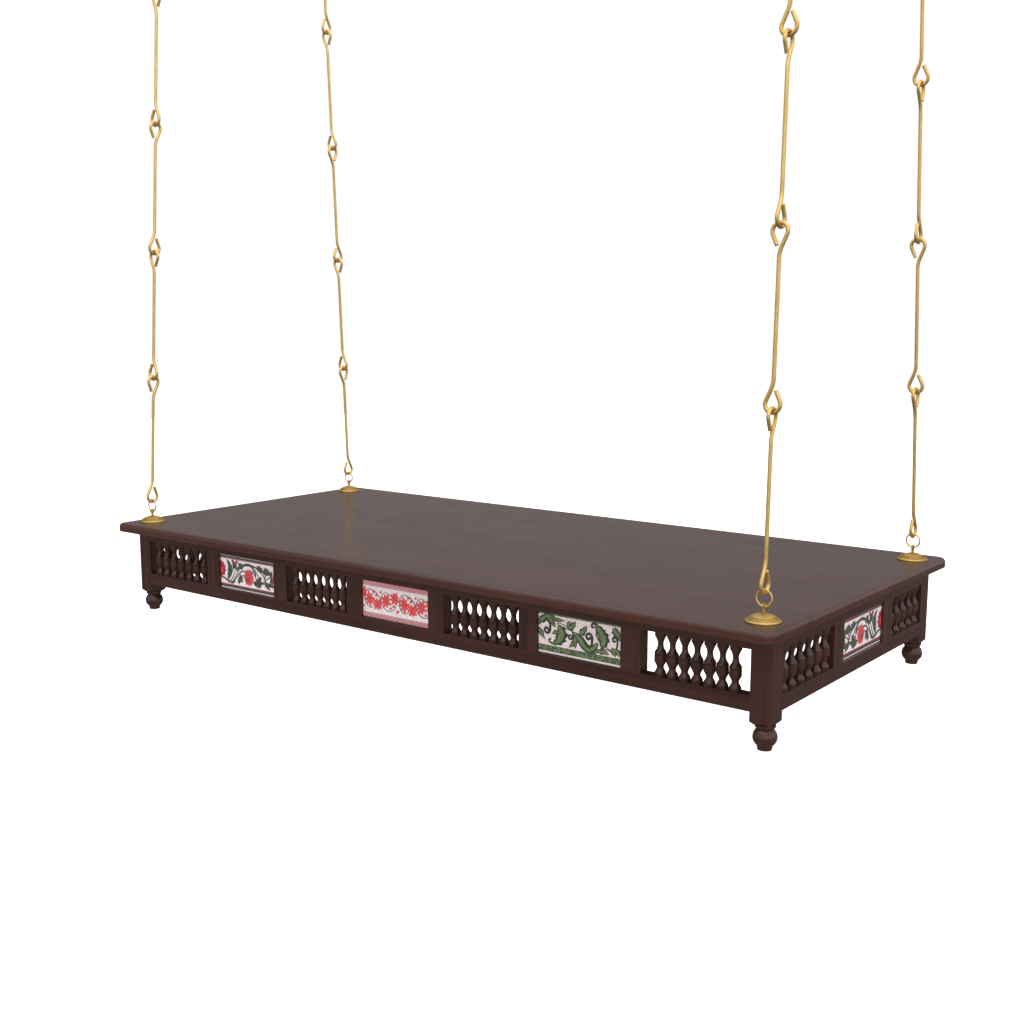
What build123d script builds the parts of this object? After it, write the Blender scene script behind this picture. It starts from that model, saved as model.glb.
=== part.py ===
from build123d import *
import os
from math import atan2, cos, sin, sqrt

# A jhoola: a flat wooden swing seat on turned feet, hung from the ceiling by four brass hangers.
# The origin is the centre of the four ceiling studs, on the ceiling plane. +X runs along the
# seat to the right, +Y to the back and +Z up. All sizes are in millimetres.

os.makedirs("parts", exist_ok=True)

# ---- Driving dimensions ----

# Seat board
board_length = 1640.0
board_width = 764.0
board_thickness = 18.0
board_edge_radius = 8.0
board_corner_radius = 20.0
end_overhang = 20.0
side_overhang = 48.0

# Frame of posts, rails and stiles
post_side = 38.0
rail_thickness = 22.5
top_rail_height = 25.0
bottom_rail_height = 26.0
bay_height = 75.0
stile_width = 40.0
tile_bay = 176.0
middle_window = 176.0
end_wide_window = 191.0
tenon_length = 8.0
tenon_thickness = 7.0
tenon_setback = 9.0
tenon_shoulder = 4.0
tenon_clearance = 0.2

# Turned feet
post_drop = 21.0
post_chamfer = 5.0
foot_height = 41.5
foot_collar_radius = 16.8
foot_collar_height = 3.6
foot_neck_radius = 13.8
foot_neck_drop = 7.6
foot_ball_radius = 19.8
foot_ball_drop = 20.8
foot_ankle_radius = 12.8
foot_toe_radius = 11.6
foot_toe_height = 7.0

# Spindles
spindle_radius = 10.1
spindle_neck_radius = 4.8
spindle_ankle_radius = 5.8
spindle_shoulder_radius = 9.6
spindle_base_radius = 9.9
spindle_base_height = 5.6
spindle_ankle_height = 14.2
spindle_shoulder_height = 23.0
spindle_collar_height = 36.8
spindle_collar_half = 3.0
spindle_collar_groove = 0.8
spindle_neck_drop = 21.0
spindle_cap = 7.0
spindle_pin_radius = 4.0
spindle_pin_length = 8.0
spindle_pin_clearance = 0.1
first_spindle_space = 6.3
last_spindle_space = 2.9
middle_spindle_space = 2.6
end_spindle_space = 10.9
outer_window_gap = 11.0
middle_window_gap = 8.5
end_window_gap = 0.05

# Tiles and the boards behind them
tile_recess = 5.0
tile_thickness = 6.0
tile_joint = 0.5
tile_arris = 0.6

# Bearers under the seat board, and their screws
bearer_width = 45.0
bearer_height = 30.0
bearer_spacing = 534.0
screw_radius = 2.2
screw_head_radius = 4.4
screw_head_height = 2.6
screw_length = 44.0
screw_spacing = 170.0
screws_per_bearer = 4
screw_clearance = 0.3
pilot_clearance = 0.05

# Eyebolts, dome plates and barrel nuts
stud_radius = 3.0
shank_radius = 2.7
stud_inset_x = 28.0
stud_inset_y = 18.0
stud_clearance = 0.2
ceiling_stud_length = 60.0
eye_height = 24.0
eye_wall = 2.6
eye_thickness = 3.2
eye_travel = 3.2
eye_round = 1.0
eye_clearance = 0.35
dome_radius = 28.8
dome_height = 13.2
dome_rim = 1.8
dome_flat_radius = 4.6
groove_radius = 1.05
first_groove = 25.4
groove_step = 2.6
groove_count = 3
barrel_nut_radius = 5.0
barrel_nut_length = 20.0
barrel_nut_clearance = 0.1
barrel_nut_recess = 5.0
stud_tip = 8.0

# Rings and hooked rods of the hangers
ring_outer_radius = 14.8
ring_wire = 3.2
rod_wire = 6.5
rod_reach = 286.5
rods_per_hanger = 5
hook_outer_width = 32.0
hook_neck = 44.0
hook_tip = 34.0
neck_bend = 40.0
link_gap = 0.3

# Spacing of the ceiling studs
ceiling_spacing_x = 1506.0
ceiling_spacing_y = 478.0

# ---- Derived sizes ----

frame_length = board_length - 2 * end_overhang
frame_width = board_width - 2 * side_overhang
frame_height = top_rail_height + bay_height + bottom_rail_height
outer_window = (
    frame_length - 2 * post_side - 6 * stile_width - 3 * tile_bay - 2 * middle_window
) / 2
end_narrow_window = frame_width - 2 * post_side - 2 * stile_width - tile_bay - end_wide_window
backer_thickness = rail_thickness - tile_recess - tile_thickness
post_x = (frame_length - post_side) / 2
post_y = (frame_width - post_side) / 2
seat_eye_x = frame_length / 2 - stud_inset_x
seat_eye_y = frame_width / 2 - stud_inset_y

# The centre line of a hanger runs between the centres of its two rings. A ring lies in the plane
# of X and the hanger's lean, so the eyes, ring centres and rods of one hanger share that plane.
ring_radius = ring_outer_radius - ring_wire / 2
hook_radius = (hook_outer_width - rod_wire) / 2
rod_pitch = rod_reach - rod_wire - link_gap
ring_seat = ring_radius - (rod_wire + ring_wire) / 2 - link_gap
hanger_span = 2 * ring_seat + (rods_per_hanger - 1) * rod_pitch + rod_reach
inset_x = seat_eye_x - ceiling_spacing_x / 2
inset_y = seat_eye_y - ceiling_spacing_y / 2
hanger_reach = sqrt(hanger_span**2 - inset_x**2) + 2 * ring_radius
hanger_drop = sqrt(hanger_reach**2 - inset_y**2)
lean = atan2(inset_y, hanger_drop)

seat_eye_z = -eye_height - hanger_drop
board_top = seat_eye_z - eye_height
board_bottom = board_top - board_thickness
barrel_nut_z = board_bottom - frame_height + bottom_rail_height / 2

corners = {
    "front_left": (-1, -1),
    "back_left": (-1, 1),
    "front_right": (1, -1),
    "back_right": (1, 1),
}

# Each side's plane has its origin at the frame's corner under the board, X along the side,
# Y into the frame and Z up. The two long sides are alike, and so are the two ends.
side_planes = {
    "front": Plane(origin=(-frame_length / 2, -frame_width / 2, board_bottom), x_dir=(1, 0, 0)),
    "right": Plane(origin=(frame_length / 2, -frame_width / 2, board_bottom), x_dir=(0, 1, 0)),
    "back": Plane(origin=(frame_length / 2, frame_width / 2, board_bottom), x_dir=(-1, 0, 0)),
    "left": Plane(origin=(-frame_length / 2, frame_width / 2, board_bottom), x_dir=(0, -1, 0)),
}


def write_piece(piece, name):
    """Label one finished piece, or group of like pieces, and write its STEP file."""
    piece.part.label = name
    export_step(piece.part, f"parts/{name}.step")


# ---- Layout of a side: windows of spindles between tiles ----


def window(width, side_gap, space):
    """A bay of evenly spaced spindles: as many as fit with at least that gap at its two sides."""
    pitch = 2 * spindle_radius + space
    count = 1 + int((width - 2 * (side_gap + spindle_radius)) / pitch)
    return {"width": width, "count": count, "pitch": pitch}


tile = {"width": tile_bay, "count": 0, "pitch": 0.0}
first = window(outer_window, outer_window_gap, first_spindle_space)
last = window(outer_window, outer_window_gap, last_spindle_space)
middle = window(middle_window, middle_window_gap, middle_spindle_space)
wide_end = window(end_wide_window, end_window_gap, end_spindle_space)
narrow_end = window(end_narrow_window, end_window_gap, end_spindle_space)

long_side = [first, tile, middle, tile, middle, tile, last]
short_side = [wide_end, tile, narrow_end]
side_bays = {"front": long_side, "right": short_side, "back": long_side, "left": short_side}
side_lengths = {
    "front": frame_length,
    "right": frame_width,
    "back": frame_length,
    "left": frame_width,
}


def bay_centres(bays):
    """The centre of each bay along its side."""
    centres = []
    start = post_side
    for bay in bays:
        centres.append(start + bay["width"] / 2)
        start += bay["width"] + stile_width
    return centres


def spindle_places(bays):
    """Where the spindles of a side stand along it."""
    places = []
    for bay, centre in zip(bays, bay_centres(bays)):
        for step in range(bay["count"]):
            places.append(centre + (step - (bay["count"] - 1) / 2) * bay["pitch"])
    return places


def stile_places(bays):
    """The centre line of each stile, between one bay and the next."""
    places = []
    for bay, centre in zip(bays[:-1], bay_centres(bays)):
        places.append(centre + (bay["width"] + stile_width) / 2)
    return places


def tile_places(bays):
    """The centre of each tile bay along its side."""
    return [centre for bay, centre in zip(bays, bay_centres(bays)) if bay["count"] == 0]


# ---- Seat board ----

stud_places = [(sx * seat_eye_x, sy * seat_eye_y) for sx, sy in corners.values()]
bearer_places = [-bearer_spacing / 2, bearer_spacing / 2]
screw_middle = (screws_per_bearer - 1) / 2
screw_rows = [(step - screw_middle) * screw_spacing for step in range(screws_per_bearer)]
screw_places = [(x, y) for x in bearer_places for y in screw_rows]
screw_base = board_bottom - bearer_height
screw_end = screw_base + screw_length

with BuildPart() as seat_board:
    with BuildSketch(Plane.XY.offset(board_bottom)):
        RectangleRounded(board_length, board_width, board_corner_radius)
    extrude(amount=board_thickness)
    fillet(seat_board.faces().sort_by(Axis.Z)[-1].edges(), radius=board_edge_radius)
    with Locations(*[(x, y, board_top) for x, y in stud_places]):
        Hole(radius=stud_radius + stud_clearance)
    with BuildSketch(Plane.XY.offset(board_bottom)):
        with Locations(*screw_places):
            Circle(screw_radius + pilot_clearance)
    extrude(amount=screw_end - board_bottom + pilot_clearance, mode=Mode.SUBTRACT)
write_piece(seat_board, "seat_board")

# ---- Corner posts with turned feet ----

post_bottom = board_bottom - frame_height - post_drop
mortise_offset = post_side / 2 - tenon_setback
mortise_width = tenon_thickness + 2 * tenon_clearance
mortise_depth = tenon_length + tenon_clearance
top_tenon = top_rail_height - 2 * tenon_shoulder
bottom_tenon = bottom_rail_height - 2 * tenon_shoulder
mortise_levels = [
    (board_bottom - top_rail_height / 2, top_tenon + 2 * tenon_clearance),
    (board_bottom - frame_height + bottom_rail_height / 2, bottom_tenon + 2 * tenon_clearance),
]
nut_bore = barrel_nut_recess + barrel_nut_length + barrel_nut_clearance
nut_offset = post_side / 2 - barrel_nut_recess - barrel_nut_length / 2
stud_bore = board_bottom - barrel_nut_z + stud_tip + stud_clearance

toe_bottom = (foot_toe_radius, -foot_height)
toe_top = (foot_ankle_radius, -foot_height + foot_toe_height)
ball_top = (foot_neck_radius, -foot_neck_drop)
collar_foot = (foot_collar_radius, -foot_collar_height)


def corner_post(sx, sy):
    """A square post with a turned foot, morticed for four rails and bored for its stud."""
    x = sx * post_x
    y = sy * post_y
    stud_x = sx * seat_eye_x
    foot_plane = Plane(origin=(x, y, post_bottom), x_dir=(1, 0, 0), z_dir=(0, -1, 0))
    with BuildPart() as post:
        with Locations((x, y, post_bottom)):
            Box(
                post_side,
                post_side,
                board_bottom - post_bottom,
                align=(Align.CENTER, Align.CENTER, Align.MIN),
            )
        chamfer(post.faces().sort_by(Axis.Z)[0].edges(), length=post_chamfer)
        with BuildSketch(foot_plane):
            with BuildLine():
                Polyline((0, post_chamfer), (0, -foot_height), toe_bottom, toe_top)
                ThreePointArc(toe_top, (foot_ball_radius, -foot_ball_drop), ball_top)
                Polyline(ball_top, collar_foot, (foot_collar_radius, 0), (0, post_chamfer))
            make_face()
        revolve(axis=Axis((x, y, 0), (0, 0, 1)))
        with Locations((stud_x, sy * seat_eye_y, board_bottom)):
            Hole(radius=stud_radius + stud_clearance, depth=stud_bore)
        nut_plane = Plane(origin=(stud_x, y - sy * post_side / 2, barrel_nut_z), z_dir=(0, sy, 0))
        with BuildSketch(nut_plane):
            Circle(barrel_nut_radius + barrel_nut_clearance)
        extrude(amount=nut_bore, mode=Mode.SUBTRACT)
        for level, height in mortise_levels:
            with Locations((x - sx * (post_side - mortise_depth) / 2, y + sy * mortise_offset, level)):
                Box(mortise_depth, mortise_width, height, mode=Mode.SUBTRACT)
            with Locations((x + sx * mortise_offset, y - sy * (post_side - mortise_depth) / 2, level)):
                Box(mortise_width, mortise_depth, height, mode=Mode.SUBTRACT)
    return post


for corner, (sx, sy) in corners.items():
    write_piece(corner_post(sx, sy), f"{corner}_post")

# ---- Spindle, turned about its own axis from the bottom of a bay ----

collar_bottom = spindle_collar_height - spindle_collar_half
collar_top = spindle_collar_height + spindle_collar_half
groove_floor = spindle_radius - spindle_collar_groove
cap_bottom = bay_height - spindle_cap

with BuildPart() as spindle:
    with BuildSketch(Plane.XZ):
        with BuildLine():
            Polyline(
                (0, -spindle_pin_length),
                (spindle_pin_radius, -spindle_pin_length),
                (spindle_pin_radius, 0),
                (spindle_base_radius, 0),
                (spindle_base_radius, spindle_base_height),
            )
            Spline(
                (spindle_base_radius, spindle_base_height),
                (spindle_ankle_radius, spindle_ankle_height),
                (spindle_shoulder_radius, spindle_shoulder_height),
                (spindle_radius, collar_bottom),
                tangents=((-0.4, 1), (0, 1)),
            )
            Polyline(
                (spindle_radius, collar_bottom),
                (spindle_radius, spindle_collar_height - spindle_collar_groove),
                (groove_floor, spindle_collar_height),
                (spindle_radius, spindle_collar_height + spindle_collar_groove),
                (spindle_radius, collar_top),
            )
            Spline(
                (spindle_radius, collar_top),
                (spindle_neck_radius, bay_height - spindle_neck_drop),
                (spindle_base_radius, cap_bottom),
                tangents=((-0.85, 1), (0.65, 1)),
            )
            Polyline(
                (spindle_base_radius, cap_bottom),
                (spindle_base_radius, bay_height),
                (spindle_pin_radius, bay_height),
                (spindle_pin_radius, bay_height + spindle_pin_length),
                (0, bay_height + spindle_pin_length),
                (0, -spindle_pin_length),
            )
        make_face()
    revolve(axis=Axis.Z)

# ---- Rails, stiles, spindles, tiles and backers of each side ----

rail_middle = rail_thickness / 2
bay_top = -top_rail_height
bay_bottom = -top_rail_height - bay_height
bay_middle = (bay_top + bay_bottom) / 2
socket_radius = spindle_pin_radius + spindle_pin_clearance
socket_depth = spindle_pin_length + spindle_pin_clearance


def rail(side, height, top, tenon_height, socket_side):
    """A rail with a tenon at each end and a socket for each spindle on one edge."""
    length = side_lengths[side]
    middle_height = top - height / 2
    socket_edge = top if socket_side > 0 else top - height
    with BuildPart(side_planes[side]) as piece:
        with Locations((length / 2, rail_middle, middle_height)):
            Box(length - 2 * post_side, rail_thickness, height)
        with Locations((length / 2, tenon_setback, middle_height)):
            Box(length - 2 * post_side + 2 * tenon_length, tenon_thickness, tenon_height)
        with Locations(*[(x, rail_middle, socket_edge) for x in spindle_places(side_bays[side])]):
            Cylinder(socket_radius, 2 * socket_depth, mode=Mode.SUBTRACT)
    return piece


def stiles(side):
    """The upright blocks that part one bay from the next."""
    with BuildPart(side_planes[side]) as piece:
        with Locations(*[(x, rail_middle, bay_middle) for x in stile_places(side_bays[side])]):
            Box(stile_width, rail_thickness, bay_height)
    return piece


def spindle_row(side):
    """All the spindles of one side, standing in its windows."""
    with BuildPart(side_planes[side]) as piece:
        with Locations(*[(x, rail_middle, bay_bottom) for x in spindle_places(side_bays[side])]):
            add(spindle.part)
    return piece


def tile_piece(side, place):
    """A glazed tile, set back in its bay."""
    with BuildPart(side_planes[side]) as piece:
        with Locations((place, tile_recess + tile_thickness / 2, bay_middle)):
            Box(tile_bay - 2 * tile_joint, tile_thickness, bay_height - 2 * tile_joint)
        outer_face = piece.faces().sort_by(Axis(side_planes[side].origin, side_planes[side].y_dir))[0]
        chamfer(outer_face.edges(), length=tile_arris)
    return piece


def backers(side):
    """The thin boards that hold the tiles of one side from behind."""
    depth = tile_recess + tile_thickness + backer_thickness / 2
    with BuildPart(side_planes[side]) as piece:
        with Locations(*[(x, depth, bay_middle) for x in tile_places(side_bays[side])]):
            Box(tile_bay, backer_thickness, bay_height)
    return piece


for side in side_planes:
    write_piece(rail(side, top_rail_height, 0.0, top_tenon, -1), f"{side}_top_rail")
    write_piece(rail(side, bottom_rail_height, bay_bottom, bottom_tenon, 1), f"{side}_bottom_rail")
    write_piece(stiles(side), f"{side}_stiles")
    write_piece(spindle_row(side), f"{side}_spindles")
    write_piece(backers(side), f"{side}_tile_backers")
    for number, place in enumerate(tile_places(side_bays[side]), start=1):
        write_piece(tile_piece(side, place), f"{side}_tile_{number}")

# ---- Bearers under the board, with their screws ----

bearer_length = frame_width - 2 * rail_thickness
bearer_names = ["left_bearer", "right_bearer"]

for name, x in zip(bearer_names, bearer_places):
    with BuildPart() as bearer:
        with Locations((x, 0, board_bottom - bearer_height / 2)):
            Box(bearer_width, bearer_length, bearer_height)
        with Locations(*[(x, y, screw_base) for y in screw_rows]):
            Cylinder(screw_radius + screw_clearance, 2 * bearer_height, mode=Mode.SUBTRACT)
            Cone(
                screw_head_radius + screw_clearance,
                screw_radius + screw_clearance,
                screw_head_height,
                align=(Align.CENTER, Align.CENTER, Align.MIN),
                mode=Mode.SUBTRACT,
            )
    write_piece(bearer, name)

with BuildPart() as bearer_screws:
    with Locations(*[(x, y, screw_base) for x, y in screw_places]):
        Cone(
            screw_head_radius,
            screw_radius,
            screw_head_height,
            align=(Align.CENTER, Align.CENTER, Align.MIN),
        )
        Cylinder(screw_radius, screw_length, align=(Align.CENTER, Align.CENTER, Align.MIN))
write_piece(bearer_screws, "bearer_screws")

# ---- Eyebolts, dome plates and barrel nuts ----

eye_hole_height = ring_wire + 2 * eye_clearance
eye_outer_height = eye_hole_height + 2 * eye_wall
stem_lap = eye_wall / 2
cap_sphere_height = dome_height - dome_rim
cap_sphere_radius = (dome_radius**2 + cap_sphere_height**2) / (2 * cap_sphere_height)


def cap_height(radius):
    """Height of a dome plate's round top above its base, at a distance from its middle."""
    return sqrt(cap_sphere_radius**2 - radius**2) - cap_sphere_radius + dome_height


def dome_plate(base, up):
    """A turned dome plate with ring grooves near its rim, drilled for an eyebolt."""
    profile_plane = Plane(origin=base, x_dir=(1, 0, 0), z_dir=(0, -up, 0))
    hole_radius = stud_radius + stud_clearance
    rim = (dome_radius, dome_rim)
    flat_edge = (dome_flat_radius, cap_height(dome_flat_radius))
    grooves = [first_groove - step * groove_step for step in range(groove_count)]
    with BuildPart() as plate:
        with BuildSketch(profile_plane):
            with BuildLine():
                Polyline(flat_edge, (hole_radius, flat_edge[1]), (hole_radius, 0), (dome_radius, 0), rim)
                RadiusArc(rim, flat_edge, -cap_sphere_radius)
            make_face()
            with Locations(*[(radius, cap_height(radius)) for radius in grooves]):
                Circle(groove_radius, mode=Mode.SUBTRACT)
        revolve(axis=Axis(base, (0, 0, 1)))
    return plate


def eyebolt(eye, up, thread_length):
    """An oval eye in the YZ plane on a shank, whose threaded stud starts at the plate's base.

    Up is +1 where the eye stands above its stud, and -1 where it hangs below it.
    """
    eye_plane = Plane(origin=eye, x_dir=(0, 1, 0), z_dir=(1, 0, 0))
    stud_top = eye_outer_height / 2 - stem_lap
    with BuildPart() as bolt:
        with BuildSketch(eye_plane):
            SlotCenterToCenter(eye_travel, eye_outer_height)
            SlotCenterToCenter(eye_travel, eye_hole_height, mode=Mode.SUBTRACT)
        extrude(amount=eye_thickness / 2, both=True)
        fillet(bolt.faces().filter_by(Axis.X).edges(), radius=eye_round)
        with Locations((eye[0], eye[1], eye[2] - up * (stud_top + eye_height) / 2)):
            Cylinder(shank_radius, eye_height - stud_top)
        with Locations((eye[0], eye[1], eye[2] - up * (eye_height + thread_length / 2))):
            Cylinder(stud_radius, thread_length)
    return bolt


seat_thread_length = board_top - barrel_nut_z + stud_tip
for corner, (sx, sy) in corners.items():
    x = sx * seat_eye_x
    y = sy * seat_eye_y
    write_piece(eyebolt((x, y, seat_eye_z), 1, seat_thread_length), f"{corner}_seat_eyebolt")
    write_piece(dome_plate((x, y, board_top), 1), f"{corner}_dome_plate")

with BuildPart() as barrel_nuts:
    for sx, sy in corners.values():
        nut_centre = (sx * seat_eye_x, sy * (post_y - nut_offset), barrel_nut_z)
        with Locations(Location(nut_centre, (90, 0, 0))):
            Cylinder(barrel_nut_radius, barrel_nut_length)
    with Locations(*[(x, y, barrel_nut_z) for x, y in stud_places]):
        Cylinder(stud_radius + pilot_clearance, 2 * barrel_nut_radius, mode=Mode.SUBTRACT)
write_piece(barrel_nuts, "barrel_nuts")

ceiling_eye_x = ceiling_spacing_x / 2
ceiling_eye_y = ceiling_spacing_y / 2
ceiling_places = [(sx * ceiling_eye_x, sy * ceiling_eye_y) for sx, sy in corners.values()]

with BuildPart() as ceiling_eyebolts:
    for x, y in ceiling_places:
        add(eyebolt((x, y, -eye_height), -1, ceiling_stud_length).part)
write_piece(ceiling_eyebolts, "ceiling_eyebolts")

with BuildPart() as ceiling_dome_plates:
    for x, y in ceiling_places:
        add(dome_plate((x, y, 0), -1).part)
write_piece(ceiling_dome_plates, "ceiling_dome_plates")

# ---- Rings and hooked rods of each hanger ----


def ring(centre, ring_axis):
    """A closed ring of round wire."""
    with BuildPart() as piece:
        with Locations(Plane(origin=centre, x_dir=(1, 0, 0), z_dir=ring_axis)):
            Torus(ring_radius, ring_wire / 2)
    return piece


# A hook is round at its end, and its two sides run straight from there towards the point on
# the rod's axis where the shaft bends. One side ends in the tip, and the other is the shaft.
hook_side_sin = hook_radius / (hook_neck - hook_radius)
hook_side_cos = sqrt(1 - hook_side_sin**2)
hook_tangent = (hook_radius * hook_side_cos, hook_radius + hook_radius * hook_side_sin)
hook_tip_offset = (hook_neck - hook_tip) * hook_side_sin / hook_side_cos


def hooked_rod(foot, along, across):
    """A rod with an open hook at each end, the two hooks turned opposite ways."""
    path_plane = Plane(origin=foot, x_dir=across, z_dir=Vector(across).cross(Vector(along)))
    low_tip = (-hook_tip_offset, hook_tip)
    low_left = (-hook_tangent[0], hook_tangent[1])
    low_right = (hook_tangent[0], hook_tangent[1])
    high_left = (-hook_tangent[0], rod_reach - hook_tangent[1])
    high_right = (hook_tangent[0], rod_reach - hook_tangent[1])
    high_tip = (hook_tip_offset, rod_reach - hook_tip)
    low_bend = (0, hook_neck)
    high_bend = (0, rod_reach - hook_neck)
    with BuildPart() as rod:
        with BuildLine(path_plane) as path:
            Line(low_tip, low_left)
            ThreePointArc(low_left, (0, 0), low_right)
            FilletPolyline(low_right, low_bend, high_bend, high_left, radius=neck_bend)
            ThreePointArc(high_left, (0, rod_reach), high_right)
            Line(high_right, high_tip)
        spine = path.wires()[0]
        with BuildSketch(Plane(origin=spine @ 0, z_dir=spine % 0)):
            Circle(rod_wire / 2)
        sweep(path=spine)
    return rod


for corner, (sx, sy) in corners.items():
    seat_eye = Vector(sx * seat_eye_x, sy * seat_eye_y, seat_eye_z)
    ceiling_eye = Vector(sx * ceiling_eye_x, sy * ceiling_eye_y, -eye_height)
    rise = Vector(0, -sy * sin(lean), cos(lean))
    low_ring = seat_eye + rise * ring_radius
    high_ring = ceiling_eye - rise * ring_radius
    along = (high_ring - low_ring).normalized()
    ring_axis = Vector(1, 0, 0).cross(rise)
    outward_y = Vector(0, sy, 0) - along * along.dot(Vector(0, sy, 0))
    inward_x = Vector(sx, 0, 0) - along * along.dot(Vector(sx, 0, 0))
    write_piece(ring(low_ring, ring_axis), f"{corner}_seat_ring")
    write_piece(ring(high_ring, ring_axis), f"{corner}_ceiling_ring")
    with BuildPart() as hanger_rods:
        for step in range(rods_per_hanger):
            foot = low_ring + along * (ring_seat + step * rod_pitch)
            across = outward_y if step % 2 == 0 else -inward_x
            add(hooked_rod(foot, along, across.normalized()).part)
    write_piece(hanger_rods, f"{corner}_hanger_rods")
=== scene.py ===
"""Dresses a jhoola, a wooden swing seat on brass hangers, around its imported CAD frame."""

import logging
import math
from dataclasses import dataclass, field
from enum import Enum
from typing import Any, Optional, Sequence

import bmesh
import bpy
from mathutils import Matrix, Vector
from mathutils.geometry import interpolate_bezier


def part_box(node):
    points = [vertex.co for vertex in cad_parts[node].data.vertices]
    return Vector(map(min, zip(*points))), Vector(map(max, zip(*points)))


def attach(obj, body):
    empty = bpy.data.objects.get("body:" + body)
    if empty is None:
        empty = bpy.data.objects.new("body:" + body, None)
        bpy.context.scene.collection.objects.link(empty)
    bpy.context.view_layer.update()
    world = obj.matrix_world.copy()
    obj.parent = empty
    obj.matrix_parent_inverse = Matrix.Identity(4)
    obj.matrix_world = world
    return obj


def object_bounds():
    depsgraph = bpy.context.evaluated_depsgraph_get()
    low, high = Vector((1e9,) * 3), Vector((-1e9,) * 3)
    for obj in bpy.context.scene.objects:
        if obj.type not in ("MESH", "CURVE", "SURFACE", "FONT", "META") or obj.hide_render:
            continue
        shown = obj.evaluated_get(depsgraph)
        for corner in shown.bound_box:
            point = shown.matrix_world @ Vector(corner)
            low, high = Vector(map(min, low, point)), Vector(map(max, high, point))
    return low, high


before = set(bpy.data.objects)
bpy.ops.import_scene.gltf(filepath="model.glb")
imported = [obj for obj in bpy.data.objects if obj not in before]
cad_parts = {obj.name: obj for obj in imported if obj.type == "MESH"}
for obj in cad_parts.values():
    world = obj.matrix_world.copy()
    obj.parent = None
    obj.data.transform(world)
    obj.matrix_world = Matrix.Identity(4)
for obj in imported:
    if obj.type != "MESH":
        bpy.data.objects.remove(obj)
cad_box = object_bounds()

log = logging.getLogger("jhoola")

MM = 0.001
SEAT = "seat"
Colour = tuple[float, float, float, float]
Point = tuple[float, float]


# ---- Materials ----


def linear(hex_colour: str) -> Colour:
    """Turns an sRGB hex colour to linear red, green, blue and alpha.

    Args:
        hex_colour: six hex digits after a hash.

    Returns:
        The four linear values.
    """
    values = []
    for start in (1, 3, 5):
        value = int(hex_colour[start : start + 2], 16) / 255
        values.append(value / 12.92 if value <= 0.04045 else ((value + 0.055) / 1.055) ** 2.4)
    return (values[0], values[1], values[2], 1.0)


def add_node(
    tree: bpy.types.NodeTree,
    kind: str,
    settings: Optional[dict[Any, Any]] = None,
    links: Optional[dict[Any, bpy.types.NodeSocket]] = None,
) -> bpy.types.Node:
    """Adds one shader node with its settings and links.

    Args:
        tree: the node tree that the node goes into.
        kind: Blender's type name of the node.
        settings: values by the name of a property, or the name or number of an input;
            "stops" holds the places and colours of a ramp.
        links: output sockets by the name or number of the input that each one feeds.

    Returns:
        The new node.
    """
    node = tree.nodes.new(kind)
    for name, value in (settings or {}).items():
        if name == "stops":
            elements = node.color_ramp.elements
            while len(elements) < len(value):
                elements.new(0.5)
            for element, (place, colour) in zip(elements, value):
                element.position = place
                element.color = colour
        elif isinstance(name, str) and name in node.bl_rna.properties:
            setattr(node, name, value)
        else:
            node.inputs[name].default_value = value
    for name, source in (links or {}).items():
        tree.links.new(source, node.inputs[name])
    return node


def new_surface(
    name: str, settings: dict[str, Any]
) -> tuple[bpy.types.Material, bpy.types.NodeTree, bpy.types.Node]:
    """Makes a material with one Principled shader, wired to its output.

    Args:
        name: the material's name.
        settings: values set on the shader's own sockets.

    Returns:
        The material, its node tree and its shader node.
    """
    material = bpy.data.materials.new(name)
    material.use_nodes = True
    tree = material.node_tree
    tree.nodes.clear()
    shader = add_node(tree, "ShaderNodeBsdfPrincipled", settings)
    add_node(tree, "ShaderNodeOutputMaterial", links={"Surface": shader.outputs["BSDF"]})
    return material, tree, shader


class Grain(Enum):
    """The direction that the wood grain of a piece runs in."""

    ALONG_X = 0
    ALONG_Y = 1
    ALONG_Z = 2

    def stretch(self, across_mm: float, along_mm: float) -> tuple[float, float, float]:
        """Scales a pattern to a real size across and along the grain.

        Args:
            across_mm: the pattern's size across the grain.
            along_mm: its size along the grain.

        Returns:
            The three scales for a mapping node that reads metres.
        """
        scales = [1 / (across_mm * MM)] * 3
        scales[self.value] = 1 / (along_mm * MM)
        return (scales[0], scales[1], scales[2])


def grain_noise(
    tree: bpy.types.NodeTree,
    place: bpy.types.NodeSocket,
    scales: tuple[float, float, float],
    detail: float,
) -> bpy.types.NodeSocket:
    """Adds a noise drawn out along the grain.

    Args:
        tree: the material's node tree.
        place: the coordinates in metres.
        scales: the pattern's scale in each direction.
        detail: how many finer layers it has.

    Returns:
        The noise's value socket.
    """
    mapping = add_node(tree, "ShaderNodeMapping", {"Scale": scales}, {"Vector": place})
    pattern = add_node(
        tree,
        "ShaderNodeTexNoise",
        {"Scale": 1.0, "Detail": detail, "Roughness": 0.55, "Distortion": 0.35},
        {"Vector": mapping.outputs["Vector"]},
    )
    return pattern.outputs["Fac"]


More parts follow.
